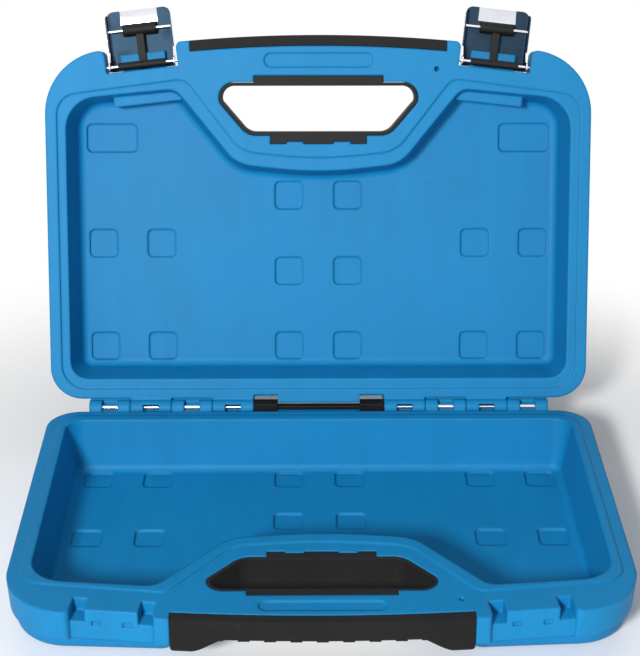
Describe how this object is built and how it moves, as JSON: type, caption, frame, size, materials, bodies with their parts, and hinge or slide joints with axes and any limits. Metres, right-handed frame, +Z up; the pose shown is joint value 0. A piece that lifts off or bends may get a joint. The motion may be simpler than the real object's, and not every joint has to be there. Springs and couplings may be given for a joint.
{
  "type": "hard tool case",
  "caption": "Hinged moulded tool case standing open, with a deep tray in each half, a hand opening behind the front grip and toggle latches on the lid.",
  "frame": {"origin": "on the flat raised field under the base, on the middle plane and halfway between the hinge axis line and the front edge", "axes": "+X to the right seen from the handle side, -Y towards the handle side, +Z up"},
  "size_m": [0.36, 0.3508, 0.2904],
  "materials": {
    "blue_shell": "fine moulded texture, satin",
    "black_grip": "textured, matt",
    "black_liner": "smooth, satin",
    "steel_pin": "drawn wire, bare",
    "bright_cover": "bright plated sheet",
    "black_insert": "satin black"
  },
  "bodies": {
    "base": {"base_shell": "blue_shell", "hinge_pin_left": "steel_pin", "hinge_pin_right": "steel_pin", "hinge_pin_retainer": "black_liner", "base_grip": "black_grip", "base_handle_liner": "black_liner"},
    "lid": {"lid_shell": "blue_shell", "lid_grip": "black_grip", "lid_handle_liner": "black_liner", "left_latch_pivot_pin": "steel_pin", "right_latch_pivot_pin": "steel_pin"},
    "left_latch": {"left_latch_cover": "bright_cover", "left_latch_insert": "black_insert", "left_latch_barrel_pin": "steel_pin"},
    "right_latch": {"right_latch_cover": "bright_cover", "right_latch_insert": "black_insert", "right_latch_barrel_pin": "steel_pin"}
  },
  "joints": [
    {"name": "lid_hinge", "type": "hinge", "parent": "base", "child": "lid", "pos_m": [0, 0.12681, 0.042], "axis": [1, 0, 0], "range_deg": [0, 107.6]},
    {"name": "left_latch_hinge", "type": "hinge", "parent": "lid", "child": "left_latch", "pos_m": [-0.116, 0.20025, 0.25863], "axis": [0.994, 0.0332, 0.1046], "range_deg": [0, 90]},
    {"name": "right_latch_hinge", "type": "hinge", "parent": "lid", "child": "right_latch", "pos_m": [0.116, 0.20025, 0.25863], "axis": [0.994, -0.0332, -0.1046], "range_deg": [0, 90]}
  ]
}
